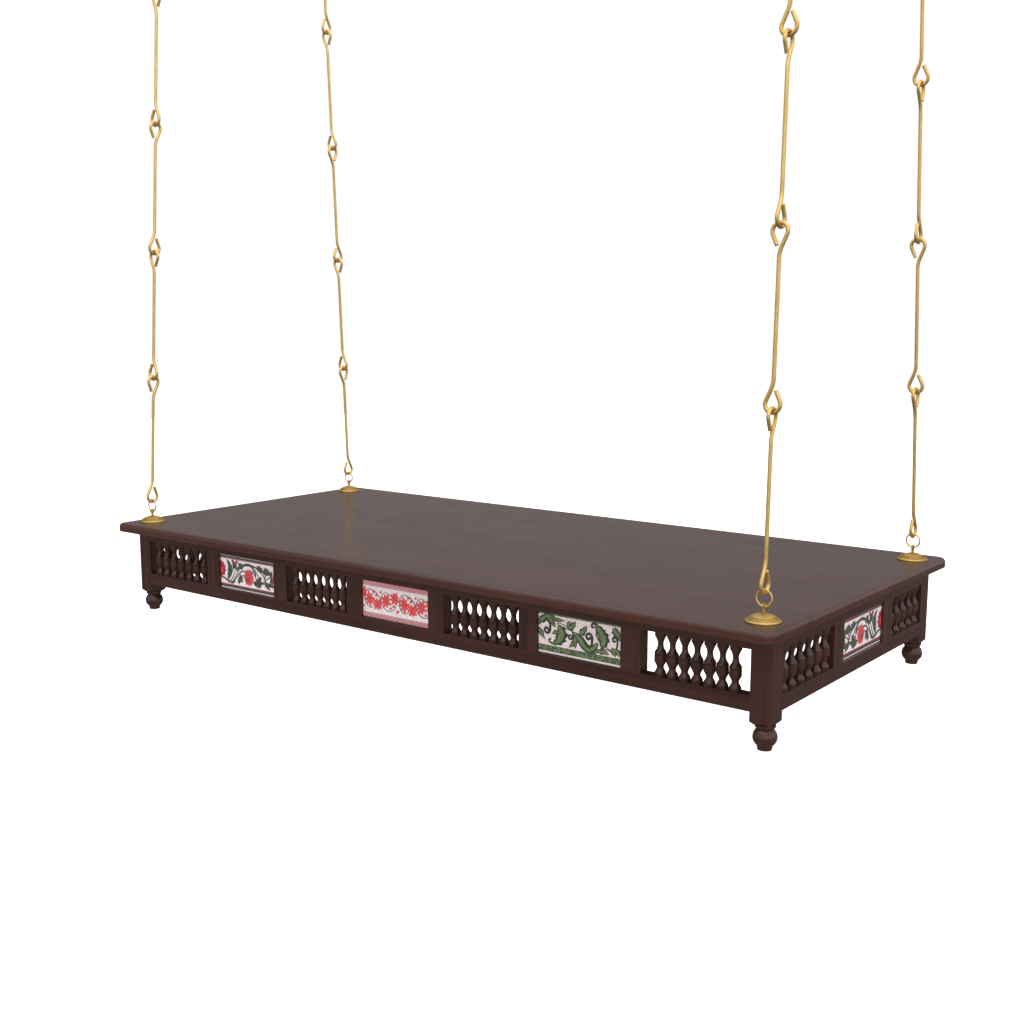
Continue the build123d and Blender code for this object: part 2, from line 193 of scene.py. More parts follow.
@dataclass(frozen=True)
class SatinLacqueredSheesham:
    """Sheesham, planed and sanded, stained dark walnut and sprayed with satin lacquer."""

    name: str = "satin_lacquered_sheesham"
    heartwood: str = "#3E241D"
    early_wood: str = "#45291F"
    dark_figure: str = "#341D18"
    figure_across_mm: float = 21.0
    figure_along_mm: float = 900.0
    # Real fibres are about 0.2 mm wide; they are drawn 1.4 mm wide so that they show.
    fibre_across_mm: float = 1.4
    fibre_along_mm: float = 55.0
    pore_across_mm: float = 0.9
    pore_along_mm: float = 11.0
    smudge_mm: float = 90.0
    plank_mm: float = 0.0
    plank_shift: tuple[float, float, float] = (7.3, 0.0, 3.1)
    gloss_range: tuple[float, float] = (0.22, 0.27)

    def build(self, grain: Grain) -> bpy.types.Material:
        """Makes the material with its grain in one direction.

        Args:
            grain: the direction of the grain.

        Returns:
            The material.
        """
        # Satin lacquer levels over the pores, so the wood is glossy at a low angle and its
        # fibres are seen through the coat rather than felt.
        material, tree, shader = new_surface(
            f"{self.name}_{grain.name.lower()}",
            {"IOR": 1.5},
        )
        place = add_node(tree, "ShaderNodeTexCoord").outputs["Object"]
        if self.plank_mm:
            place = self.plank_places(tree, place)
        figure_scale = grain.stretch(self.figure_across_mm, self.figure_along_mm)
        figure = grain_noise(tree, place, figure_scale, 3.0)
        fibre_scale = grain.stretch(self.fibre_across_mm, self.fibre_along_mm)
        fibres = grain_noise(tree, place, fibre_scale, 4.0)
        pore_scale = grain.stretch(self.pore_across_mm, self.pore_along_mm)
        pores = grain_noise(tree, place, pore_scale, 1.0)
        stops = [
            (0.30, linear(self.dark_figure)),
            (0.50, linear(self.heartwood)),
            (0.72, linear(self.early_wood)),
        ]
        tone = add_node(tree, "ShaderNodeValToRGB", {"stops": stops}, {"Fac": figure})
        fibre_shade = add_node(
            tree,
            "ShaderNodeMapRange",
            {"From Min": 0.35, "From Max": 0.65, "To Min": 0.87, "To Max": 1.09},
            {"Value": fibres},
        )
        fibred = add_node(
            tree,
            "ShaderNodeVectorMath",
            {"operation": "SCALE"},
            {0: tone.outputs["Color"], "Scale": fibre_shade.outputs["Result"]},
        )
        pore_depth = add_node(
            tree,
            "ShaderNodeMapRange",
            {"From Min": 0.60, "From Max": 0.72, "To Min": 0.0, "To Max": 0.5},
            {"Value": pores},
        )
        wood = add_node(
            tree,
            "ShaderNodeMix",
            {"data_type": "RGBA", 7: linear(self.dark_figure)},
            {0: pore_depth.outputs["Result"], 6: fibred.outputs["Vector"]},
        )
        tree.links.new(wood.outputs[2], shader.inputs["Base Color"])
        smudge = add_node(
            tree,
            "ShaderNodeTexNoise",
            {"Scale": 1 / (self.smudge_mm * MM), "Detail": 2.0},
            {"Vector": place},
        )
        low, high = self.gloss_range
        sheen = add_node(
            tree,
            "ShaderNodeMapRange",
            {"From Min": 0.35, "From Max": 0.65, "To Min": low, "To Max": high},
            {"Value": smudge.outputs["Fac"]},
        )
        tree.links.new(sheen.outputs["Result"], shader.inputs["Roughness"])
        relief = add_node(
            tree, "ShaderNodeBump", {"Strength": 0.03, "Distance": 0.1 * MM}, {"Height": fibres}
        )
        tree.links.new(relief.outputs["Normal"], shader.inputs["Normal"])
        return material

    def plank_places(
        self, tree: bpy.types.NodeTree, place: bpy.types.NodeSocket
    ) -> bpy.types.NodeSocket:
        """Shifts the pattern from one glued-up plank to the next, across the Y direction.

        Args:
            tree: the material's node tree.
            place: the coordinates in metres.

        Returns:
            The shifted coordinates.
        """
        split = add_node(tree, "ShaderNodeSeparateXYZ", links={"Vector": place})
        plank = add_node(
            tree,
            "ShaderNodeMath",
            {"operation": "SNAP", 1: self.plank_mm * MM},
            {0: split.outputs["Y"]},
        )
        number = plank.outputs["Value"]
        steps = add_node(tree, "ShaderNodeCombineXYZ", links={"X": number, "Z": number})
        shifted = add_node(
            tree,
            "ShaderNodeVectorMath",
            {"operation": "MULTIPLY_ADD", 1: self.plank_shift},
            {0: steps.outputs["Vector"], 2: place},
        )
        return shifted.outputs["Vector"]


@dataclass(frozen=True)
class PlanedMangoWood:
    """Mango wood for the hidden backing boards, planed and left bare."""

    name: str = "planed_mango_wood"
    light_wood: str = "#A5805A"
    dark_wood: str = "#7C5A3C"
    figure_across_mm: float = 9.0
    figure_along_mm: float = 160.0

    def build(self, grain: Grain) -> bpy.types.Material:
        """Makes the material with its grain in one direction.

        Args:
            grain: the direction of the grain.

        Returns:
            The material.
        """
        # Bare planed wood scatters light widely, so it looks dry beside the lacquered frame.
        material, tree, shader = new_surface(
            f"{self.name}_{grain.name.lower()}", {"IOR": 1.45, "Roughness": 0.72}
        )
        place = add_node(tree, "ShaderNodeTexCoord").outputs["Object"]
        scales = grain.stretch(self.figure_across_mm, self.figure_along_mm)
        figure = grain_noise(tree, place, scales, 5.0)
        stops = [(0.32, linear(self.dark_wood)), (0.66, linear(self.light_wood))]
        tone = add_node(tree, "ShaderNodeValToRGB", {"stops": stops}, {"Fac": figure})
        tree.links.new(tone.outputs["Color"], shader.inputs["Base Color"])
        relief = add_node(
            tree, "ShaderNodeBump", {"Strength": 0.3, "Distance": 0.2 * MM}, {"Height": figure}
        )
        tree.links.new(relief.outputs["Normal"], shader.inputs["Normal"])
        return material


@dataclass(frozen=True)
class BrushedMetal:
    """A metal with a fine worked grain, a slow change of tone over it and painted shade in its
    grooves.
    """

    name: str
    bright: str
    dull: str
    tarnish_mm: float
    scratch_mm: float
    roughness_range: tuple[float, float]
    # Painted shade: the colour darkens within this reach of a groove's walls or a nearby part, down to
    # this share at the darkest.
    painted_shade_reach_mm: float = 1.8
    painted_groove_shade: float = 0.35

    def build(self) -> bpy.types.Material:
        """Makes the material.

        Returns:
            The material.
        """
        # Hand buffing leaves soft highlights and slightly warmer patches where it dulls.
        material, tree, shader = new_surface(self.name, {"Metallic": 1.0})
        place = add_node(tree, "ShaderNodeTexCoord").outputs["Object"]
        patches = add_node(
            tree,
            "ShaderNodeTexNoise",
            {"Scale": 1 / (self.tarnish_mm * MM), "Detail": 3.0},
            {"Vector": place},
        )
        stops = [(0.36, linear(self.dull)), (0.6, linear(self.bright))]
        tone = add_node(
            tree, "ShaderNodeValToRGB", {"stops": stops}, {"Fac": patches.outputs["Fac"]}
        )
        # Painted shade: an occlusion node darkens the colour in grooves and corners and where another
        # part comes close.
        groove_occlusion = add_node(tree, "ShaderNodeAmbientOcclusion", {"Distance": self.painted_shade_reach_mm * MM})
        painted_shade_factor = add_node(
            tree,
            "ShaderNodeMapRange",
            {"From Min": 0.55, "From Max": 0.95, "To Min": self.painted_groove_shade, "To Max": 1.0},
            {"Value": groove_occlusion.outputs["AO"]},
        )
        tone_with_painted_shade = add_node(
            tree,
            "ShaderNodeVectorMath",
            {"operation": "SCALE"},
            {0: tone.outputs["Color"], "Scale": painted_shade_factor.outputs["Result"]},
        )
        tree.links.new(tone_with_painted_shade.outputs["Vector"], shader.inputs["Base Color"])
        low, high = self.roughness_range
        polish = add_node(
            tree,
            "ShaderNodeMapRange",
            {"From Min": 0.35, "From Max": 0.65, "To Min": high, "To Max": low},
            {"Value": patches.outputs["Fac"]},
        )
        tree.links.new(polish.outputs["Result"], shader.inputs["Roughness"])
        scratches = add_node(
            tree,
            "ShaderNodeTexNoise",
            {"Scale": 1 / (self.scratch_mm * MM), "Detail": 2.0},
            {"Vector": place},
        )
        relief = add_node(
            tree,
            "ShaderNodeBump",
            {"Strength": 0.08, "Distance": 0.05 * MM},
            {"Height": scratches.outputs["Fac"]},
        )
        tree.links.new(relief.outputs["Normal"], shader.inputs["Normal"])
        return material


@dataclass(frozen=True)
class Glaze:
    """Fired glaze on an earthenware tile, mottled where the brush left it thick or thin."""

    name: str
    thin: str
    thick: str
    mottle_mm: float
    contrast: float = 0.12

    def build(self) -> bpy.types.Material:
        """Makes the material.

        Returns:
            The material.
        """
        # The melted glass coat is smooth and sharp in its gloss, with a faint orange peel.
        material, tree, shader = new_surface(
            self.name, {"IOR": 1.5, "Roughness": 0.3, "Coat Weight": 0.6, "Coat Roughness": 0.06}
        )
        place = add_node(tree, "ShaderNodeTexCoord").outputs["Object"]
        mottle = add_node(
            tree,
            "ShaderNodeTexNoise",
            {"Scale": 1 / (self.mottle_mm * MM), "Detail": 3.0},
            {"Vector": place},
        )
        stops = [
            (0.5 - self.contrast, linear(self.thick)),
            (0.5 + self.contrast, linear(self.thin)),
        ]
        tone = add_node(
            tree, "ShaderNodeValToRGB", {"stops": stops}, {"Fac": mottle.outputs["Fac"]}
        )
        tree.links.new(tone.outputs["Color"], shader.inputs["Base Color"])
        relief = add_node(
            tree,
            "ShaderNodeBump",
            {"Strength": 0.1, "Distance": 0.1 * MM},
            {"Height": mottle.outputs["Fac"]},
        )
        tree.links.new(relief.outputs["Normal"], shader.inputs["Normal"])
        return material


# Painted light and shade: the brass is one metal, but the cast domes and eyebolts get a darker base
# colour to offset the overhead light on them, and the drawn rods and rings a lighter one to offset the
# dim surround they reflect; only their roughness differs for real.
CAST_BRASS_WITH_PAINTED_SHADE = BrushedMetal("cast_brass_with_painted_shade", "#CEAE6A", "#C3A25F", 26.0, 0.6, (0.46, 0.54))
DRAWN_BRASS_WITH_PAINTED_LIGHT = BrushedMetal("drawn_brass_with_painted_light", "#F1CF85", "#E6C378", 26.0, 0.6, (0.54, 0.60))
ZINC_STEEL = BrushedMetal("zinc_plated_steel", "#C6C9CC", "#9DA2A8", 14.0, 0.5, (0.34, 0.46))

BOARD_LACQUER = SatinLacqueredSheesham(
    name="board_sheesham",
    heartwood="#452720",
    early_wood="#4C2C22",
    dark_figure="#3A201A",
    plank_mm=127.0,
    gloss_range=(0.22, 0.26),
)
FRAME_LACQUER = SatinLacqueredSheesham()
BACKING_WOOD = PlanedMangoWood()


# ---- Frame woodwork ----


def dress(names: Sequence[str], material: bpy.types.Material) -> None:
    """Gives CAD nodes a finish.

    Args:
        names: the nodes.
        material: their material.
    """
    for name in names:
        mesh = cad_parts[name].data
        mesh.materials.clear()
        mesh.materials.append(material)


SIDES = ("front", "right", "back", "left")
LONG_SIDES = ("front", "back")
END_SIDES = ("right", "left")
CORNERS = ("front_left", "back_left", "front_right", "back_right")


@dataclass
class SeatFrame:
    """The seat board, its posts, rails, stiles, spindles and bearers, all in lacquered wood."""

    lacquer: SatinLacqueredSheesham = FRAME_LACQUER
    board_lacquer: SatinLacqueredSheesham = BOARD_LACQUER
    backing: PlanedMangoWood = BACKING_WOOD

    def dress(self) -> None:
        """Gives each wooden piece its lacquer, with the grain along its length."""
        along = {grain: self.lacquer.build(grain) for grain in Grain}
        dress(["seat_board"], self.board_lacquer.build(Grain.ALONG_X))
        dress([f"{corner}_post" for corner in CORNERS], along[Grain.ALONG_Z])
        dress([f"{side}_stiles" for side in SIDES], along[Grain.ALONG_Z])
        dress([f"{side}_spindles" for side in SIDES], along[Grain.ALONG_Z])
        for rail in ("top_rail", "bottom_rail"):
            dress([f"{side}_{rail}" for side in LONG_SIDES], along[Grain.ALONG_X])
            dress([f"{side}_{rail}" for side in END_SIDES], along[Grain.ALONG_Y])
        dress(["left_bearer", "right_bearer"], along[Grain.ALONG_Y])
        backed = self.backing.build(Grain.ALONG_X)
        dress([f"{side}_tile_backers" for side in LONG_SIDES], backed)
        backed = self.backing.build(Grain.ALONG_Y)
        dress([f"{side}_tile_backers" for side in END_SIDES], backed)
        log.info("seat frame: %d sides and %d posts in lacquer", len(SIDES), len(CORNERS))


# ---- Hangers and hardware ----


@dataclass
class Hardware:
    """The brass hangers with their rings, eyebolts and dome plates, and the steel fixings."""

    cast: BrushedMetal = CAST_BRASS_WITH_PAINTED_SHADE
    drawn: BrushedMetal = DRAWN_BRASS_WITH_PAINTED_LIGHT
    steel: BrushedMetal = ZINC_STEEL
    cast_pieces: tuple[str, ...] = ("seat_eyebolt", "dome_plate")
    drawn_pieces: tuple[str, ...] = ("seat_ring", "ceiling_ring", "hanger_rods")

    def dress(self) -> None:
        """Gives the brass and steel pieces their finishes."""
        # Painted light and shade: the two brass colours make up for the light that falls on each group
        # of pieces.
        cast, drawn = self.cast.build(), self.drawn.build()
        for corner in CORNERS:
            dress([f"{corner}_{piece}" for piece in self.cast_pieces], cast)
            dress([f"{corner}_{piece}" for piece in self.drawn_pieces], drawn)
        dress(["ceiling_eyebolts", "ceiling_dome_plates"], cast)
        dress(["bearer_screws", "barrel_nuts"], self.steel.build())
        log.info("hardware: %d brass hangers", len(CORNERS))


# ---- Tile paintings ----


class Paint(Enum):
    """The glazes that the tiles are painted with."""

    LEAF_GREY = Glaze("grey_green_glaze", "#565A52", "#3B3F38", 5.0)
    BLOSSOM_RED = Glaze("blossom_red_glaze", "#DC5254", "#C43A42", 4.0)
    DEEP_RED = Glaze("deep_red_glaze", "#B43846", "#962634", 4.0)
    ROSE = Glaze("rose_glaze", "#BC6A72", "#A4565F", 3.0)
    PALE_ROSE = Glaze("pale_rose_glaze", "#DAABAE", "#CA9296", 6.0)
    VINE_MAUVE = Glaze("vine_mauve_glaze", "#805F6B", "#684C5A", 6.0)
    CORAL = Glaze("coral_glaze", "#E65453", "#CE3C40", 3.0)
    DARK_GREEN = Glaze("dark_green_glaze", "#384A35", "#263527", 7.0)
    LIGHT_GREEN = Glaze("light_green_glaze", "#7C8A5C", "#546844", 3.5)
    BORDER_GREEN = Glaze("border_green_glaze", "#718058", "#32452F", 4.5)
    WHITE = Glaze("white_glaze", "#F1E9EA", "#E6DCDE", 9.0)


class Ground(Enum):
    """The glazes that cover the whole face of a tile before it is painted."""

    WHITE = Glaze("white_ground_glaze", "#F3E9EC", "#E7DADF", 8.0)
    PALE_GREY = Glaze("pale_grey_ground_glaze", "#EBE2E3", "#DDD2D4", 8.0)
    PINKISH = Glaze("pinkish_ground_glaze", "#E8D8D9", "#D6C2C3", 3.0)


def flowing(points: Sequence[Point], steps: int = 7) -> list[Vector]:
    """Samples a smooth line that passes through the points.

    Args:
        points: places in millimetres.
        steps: samples from one point to the next.

    Returns:
        The line's samples.
    """
    knots = [Vector(point) for point in (points[0], *points, points[-1])]
    samples = [knots[0]]
    for before, start, end, after in zip(knots, knots[1:], knots[2:], knots[3:]):
        leaving = start + (end - before) / 6
        arriving = end - (after - start) / 6
        run = interpolate_bezier(
            start.to_3d(), leaving.to_3d(), arriving.to_3d(), end.to_3d(), steps + 1
        )
        samples += [sample.to_2d() for sample in run[1:]]
    return samples


def curl(centre: Point, radius: float, start: float, turns: float) -> list[Point]:
    """Gives the points of a spiral that winds inward.

    Args:
        centre: its middle in millimetres.
        radius: its radius where it starts.
        start: the angle where it starts, in degrees.
        turns: how many turns it makes, below zero for clockwise.

    Returns:
        The spiral's points.
    """
    points_per_turn = 8
    shrink = 0.78
    count = max(5, int(abs(turns) * points_per_turn))
    points = []
    for step in range(count + 1):
        share = step / count
        angle = math.radians(start + 360 * turns * share)
        reach = radius * (1 - shrink * share)
        points.append((centre[0] + reach * math.cos(angle), centre[1] + reach * math.sin(angle)))
    return points


@dataclass
class TilePainting:
    """The raised glaze painting on the face of one tile, drawn in millimetres from its middle."""

    node: str
    across: Vector
    mirrored: bool = False
    relief_mm: float = 0.3
    sunk_mm: float = 0.2
    layer_mm: float = 0.004
    edge_mm: float = 0.8
    # A brush leaves no stroke thinner than these reaches to each side of its line.
    finest_stroke_mm: float = 0.08
    finest_leaf_mm: float = 0.06
    finest_dot_mm: float = 0.05
    tooth_depth: float = 0.38
    ground: Ground = Ground.WHITE
    layers: int = 0
    meshes: dict[Paint, bmesh.types.BMesh] = field(default_factory=dict)

    def measure(self) -> tuple[float, float]:
        """Reads the tile's size from its node.

        Returns:
            Half its width and half its height in millimetres.
        """
        low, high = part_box(self.node)
        size = (high - low) / MM
        width = size.x if abs(self.across.x) > 0.5 else size.y
        return width / 2, size.z / 2

    def brush(self, paint: Paint) -> bmesh.types.BMesh:
        """Gives the mesh that a glaze is drawn in.

        Args:
            paint: the glaze.

        Returns:
            Its mesh.
        """
        if paint not in self.meshes:
            self.meshes[paint] = bmesh.new()
        return self.meshes[paint]

    def ribbon(
        self, paint: Paint, line: Sequence[Vector], left: Sequence[float], right: Sequence[float]
    ) -> None:
        """Lays one closed stroke of glaze along a line.

        Args:
            paint: the glaze.
            line: the samples of the line.
            left: the stroke's reach to the left of each sample.
            right: its reach to the right.
        """
        mesh = self.brush(paint)
        self.layers += 1
        top = self.relief_mm + self.layers * self.layer_mm
        rings = []
        for index, place in enumerate(line):
            ahead = line[min(index + 1, len(line) - 1)] - line[max(index - 1, 0)]
            side = Vector((-ahead.y, ahead.x)).normalized()
            edge = place + side * left[index]
            far = place - side * right[index]
            corners = [(edge, -self.sunk_mm), (edge, top), (far, top), (far, -self.sunk_mm)]
            rings.append([mesh.verts.new((spot.x, spot.y, height)) for spot, height in corners])
        for ring, following in zip(rings, rings[1:]):
            for corner in range(4):
                turn = (corner + 1) % 4
                mesh.faces.new((ring[corner], ring[turn], following[turn], following[corner]))
        mesh.faces.new(reversed(rings[0]))
        mesh.faces.new(rings[-1])

    def stroke(self, paint: Paint, points: Sequence[Point], widths: Sequence[float]) -> None:
        """Paints a line whose width changes evenly from one given width to the next.

        Args:
            paint: the glaze.
            points: the places that the line passes through.
            widths: its widths in millimetres, spread evenly along it.
        """
        line = flowing(points)
        halves = []
        for index in range(len(line)):
            spot = index / (len(line) - 1) * (len(widths) - 1)
            low = min(int(spot), len(widths) - 2)
            width = widths[low] + (widths[low + 1] - widths[low]) * (spot - low)
            halves.append(max(self.finest_stroke_mm, width / 2))
        self.ribbon(paint, line, halves, halves)

    def leaf(
        self, paint: Paint, points: Sequence[Point], width: float, teeth: int = 0, skew: float = 0.5
    ) -> None:
        """Paints a leaf along a line, with a pointed tip and, if it has teeth, a cut edge.

        Args:
            paint: the glaze.
            points: the places that its middle line passes through, from stem to tip.
            width: its greatest width in millimetres.
            teeth: how many teeth each edge has.
            skew: the share of the width that lies on the left of the line.
        """
        steps = max(6, 4 * teeth // max(1, len(points) - 1) + 4)
        line = flowing(points, steps)
        last = len(line) - 1
        reach = []
        for index in range(last + 1):
            share = index / last
            swell = math.sin(math.pi * share**0.8)
            cut = 1 - self.tooth_depth * (share * teeth % 1.0)
            reach.append(max(self.finest_leaf_mm, width * swell * cut))
        left = [amount * skew for amount in reach]
        right = [amount * (1 - skew) for amount in reach]
        self.ribbon(paint, line, left, right)

    def shaded_leaf(
        self, points: Sequence[Point], width: float, teeth: int = 0, skew: float = 0.5
    ) -> None:
        """Paints a green leaf, dark at its edges and light along its middle.

        Args:
            points: the places that its middle line passes through, from stem to tip.
            width: its greatest width in millimetres.
            teeth: how many teeth each edge has.
            skew: the share of the width that lies on the left of the line.
        """
        self.leaf(Paint.DARK_GREEN, points, width, teeth, skew)
        self.leaf(Paint.LIGHT_GREEN, points, width * 0.46, teeth, skew)

    def petals(
        self, paint: Paint, centre: Point, reach: float, width: float, angles: Sequence[float]
    ) -> None:
        """Paints petals or leaf lobes that spread from one place.

        Args:
            paint: the glaze.
            centre: where they meet.
            reach: their length in millimetres.
            width: their greatest width.
            angles: the direction of each one in degrees.
        """
        for angle in angles:
            turn = math.radians(angle)
            tip = (centre[0] + reach * math.cos(turn), centre[1] + reach * math.sin(turn))
            middle = ((centre[0] + tip[0]) / 2, (centre[1] + tip[1]) / 2)
            self.leaf(paint, [centre, middle, tip], width)

    def dot(self, paint: Paint, centre: Point, radius: float) -> None:
        """Paints a round dot.

        Args:
            paint: the glaze.
            centre: its middle in millimetres.
            radius: its radius.
        """
        count = 8
        line, halves = [], []
        for step in range(count + 1):
            angle = math.pi * step / count
            line.append(Vector((centre[0] - radius * math.cos(angle), centre[1])))
            halves.append(max(self.finest_dot_mm, radius * math.sin(angle)))
        self.ribbon(paint, line, halves, halves)

    def band(self, paint: Paint, bottom: float, top: float) -> None:
        """Paints a straight band across the tile.

        Args:
            paint: the glaze.
            bottom: the height of its lower edge from the tile's middle.
            top: the height of its upper edge.
        """
        reach = self.measure()[0] + 2
        middle = (bottom + top) / 2
        half = (top - bottom) / 2
        line = [Vector((-reach, middle)), Vector((reach, middle))]
        self.ribbon(paint, line, [half, half], [half, half])

    def draw(self) -> None:
        """Paints the design; each kind of tile has its own."""
        raise NotImplementedError

    def build(self) -> None:
        """Dresses the tile and turns the drawing into one piece for each glaze."""
        dress([self.node], self.ground.value.build())
        half_width, half_height = self.measure()
        self.draw()
        low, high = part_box(self.node)
        outward = self.across.cross(Vector((0, 0, 1)))
        middle = (low + high) / 2
        depth = abs((high - low).dot(outward)) / 2
        origin = middle + outward * depth
        turned = Matrix((self.across, Vector((0, 0, 1)), outward)).transposed().to_4x4()
        place = Matrix.Translation(origin) @ turned @ Matrix.Scale(MM, 4)
        # The drawing is cut off a little inside the tile's four edges.
        edges = []
        for axis, half in ((Vector((1, 0, 0)), half_width), (Vector((0, 1, 0)), half_height)):
            for way in (axis, -axis):
                edges.append((way * (half - self.edge_mm), way))
        for paint, mesh in self.meshes.items():
            if self.mirrored:
                bmesh.ops.scale(mesh, vec=(-1, 1, 1), verts=mesh.verts)
            for spot, normal in edges:
                everything = [*mesh.verts, *mesh.edges, *mesh.faces]
                bmesh.ops.bisect_plane(
                    mesh, geom=everything, plane_co=spot, plane_no=normal, clear_outer=True
                )
                rims = [edge for edge in mesh.edges if edge.is_boundary]
                bmesh.ops.holes_fill(mesh, edges=rims)
            bmesh.ops.recalc_face_normals(mesh, faces=mesh.faces)
            mesh.transform(place)
            name = f"{self.node}_{paint.name.lower()}"
            data = bpy.data.meshes.new(name)
            mesh.to_mesh(data)
            mesh.free()
            data.materials.append(PAINTS[paint])
            piece = bpy.data.objects.new(name, data)
            bpy.context.scene.collection.objects.link(piece)
            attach(piece, SEAT)
        log.info("%s: %d strokes in %d glazes", self.node, self.layers, len(self.meshes))


PAINTS = {paint: paint.value.build() for paint in Paint}


@dataclass
class PomegranateTile(TilePainting):
    """A red pomegranate blossom under an arching stem, with grey-green leaves, on white."""

    ground: Ground = Ground.WHITE

    def draw(self) -> None:
        """Paints the borders, the side blossoms, the stems and leaves and the middle blossom."""
        self.borders()
        self.side_blossoms()
        self.left_spray()
        self.arch()
        self.middle_blossom()
        self.right_branch()

    def borders(self) -> None:
        """Paints the grey-green bands with their red lines and dots."""
        self.band(Paint.LEAF_GREY, 31.0, 35.2)
        self.band(Paint.LEAF_GREY, -33.8, -28.8)
        self.band(Paint.DEEP_RED, -28.6, -26.6)
        for step in range(-28, 29):
            self.dot(Paint.DEEP_RED, (step * 3.1, 29.8), 1.25)

    def side_blossoms(self) -> None:
        """Paints the half blossoms that the tile's two ends cut through."""
        self.petals(Paint.DEEP_RED, (-89, 4), 19.5, 15, [-78, -42, -8, 24, 55, 82])
        self.petals(Paint.BLOSSOM_RED, (-88, 3), 11, 7, [-40, 0, 40])
        self.petals(Paint.BLOSSOM_RED, (91, 0), 14, 10, [108, 140, 180, 220, 250])

    def left_spray(self) -> None:
        """Paints the tall leaf, the paired stems and the two small buds."""
        grey = Paint.LEAF_GREY
        self.leaf(grey, [(-64, -17), (-57, 0), (-57, 14), (-67, 27)], 17.0, 5, 0.5)
        foot = [(-88, -14), (-76, -15), (-64, -20), (-50, -23), (-41, -18)]
        self.stroke(grey, foot, [2.4, 4.6, 4])
        self.stroke(grey, [(-65, -17), (-54, -6), (-46, 8), (-43, 16)], [2.2, 1.6, 2.2])
        self.stroke(grey, [(-57, -20), (-48, -11), (-41, 2), (-34, 10)], [2.6, 2.0, 1.4])
        self.stroke(grey, [(-51, -21), (-41, -12), (-33, 0), (-26, 9)], [1.8, 2.2, 1.8])
        self.stroke(grey, [(-45, -19), (-37, -12), (-29, -2), (-20, 5)], [1.4, 2.0, 1.4])
        self.petals(grey, (-41, 11), 13, 7.5, [60, 90, 120])
        self.petals(Paint.DEEP_RED, (-44, 21), 9, 5.4, [118, 140])
        self.petals(Paint.DEEP_RED, (-37, 21), 9, 5.4, [38, 60])
        self.petals(grey, (-41, 11), 8, 4.4, [-4, 186])
        self.petals(grey, (-20, -3), 17, 6.4, [232, 256, 280])
        self.petals(grey, (-31, -14), 11, 5.0, [296, 335])

    def arch(self) -> None:
        """Paints the stem that arches over the blossom, with its hooks and leaves."""
        grey = Paint.LEAF_GREY
        self.stroke(grey, [(-27, -8), (-21, 4), (-12, 7), (-5, 3)], [1.6, 3.4, 1.2])
        self.stroke(grey, [(-24, -9), (-16, -3), (-9, -5)], [1.4, 2.8, 1.0])
        over = [(-30, 11), (-20, 16), (-6, 21), (9, 22), (20, 15), (28, 1)]
        self.stroke(grey, over, [2.6, 5.8, 5.4, 2.6])
        self.stroke(grey, [(8, 22), (24, 20), (40, 13), (52, 3), (60, -10)], [3.8, 3.0, 2.4, 2.6])
        self.stroke(grey, [(14, 12), (22, 4), (28, -6), (31, -16)], [1.4, 1.8, 1.0])
        self.stroke(grey, [(24, 14), (32, 6), (38, -3), (41, -10)], [1.4, 1.8, 1.2])
        self.petals(grey, (-22, 10), 15, 8.0, [48, 80, 108])
        self.petals(grey, (-26, 9), 9, 5.4, [150, 200])
        self.petals(grey, (38, 12), 14, 7.4, [14, 46, 82, 118])
        self.petals(grey, (41, 1), 10, 6.0, [250, 284])

    def middle_blossom(self) -> None:
        """Paints the red pomegranate blossom with its grey veins."""
        centre = (4.5, -6)
        self.petals(Paint.BLOSSOM_RED, centre, 17.5, 12, [-118, -92, -62])
        self.petals(Paint.BLOSSOM_RED, centre, 16, 12, [-36, -8, 20])
        self.petals(Paint.BLOSSOM_RED, centre, 15.5, 12, [160, 190, 216])
        self.petals(Paint.BLOSSOM_RED, centre, 19.5, 11, [52, 76, 100, 128])
        self.petals(Paint.DEEP_RED, (3, -15), 13, 4.5, [64, 100, 140])
        self.stroke(Paint.LEAF_GREY, [(-2, -16), (0, -4), (5, 4)], [0.8, 1.7, 0.6])
        self.stroke(Paint.LEAF_GREY, [(1, -18), (5, -7), (10, 0)], [0.6, 1.3, 0.5])

    def right_branch(self) -> None:
        """Paints the thistle and the branch with its leaves."""
        grey = Paint.LEAF_GREY
        self.leaf(grey, [(19, -14), (34, -15), (52, -10)], 16.0, 6, 0.46)
        self.petals(grey, (36, -13), 12, 6.4, [52, 90, 128, 228, 262, 300])
        self.stroke(grey, [(48, -14), (55, -8), (64, 0), (74, 3), (88, 2)], [3.2, 2.0, 2.4, 2.0])
        self.petals(grey, (60, 9), 15, 8.4, [18, 48, 80, 112, 150])
        self.stroke(grey, [(60, 8), (56, 2), (52, -5)], [2.4, 1.6])
        self.petals(grey, (74, 3), 15, 5.6, [68, 88])
        self.petals(grey, (76, 2), 16, 5.6, [262, 286])
        self.leaf(grey, [(54, -10), (62, -17), (72, -24)], 7.5)
        self.leaf(grey, [(58, -10), (72, -14), (89, -16)], 9.0, 3)


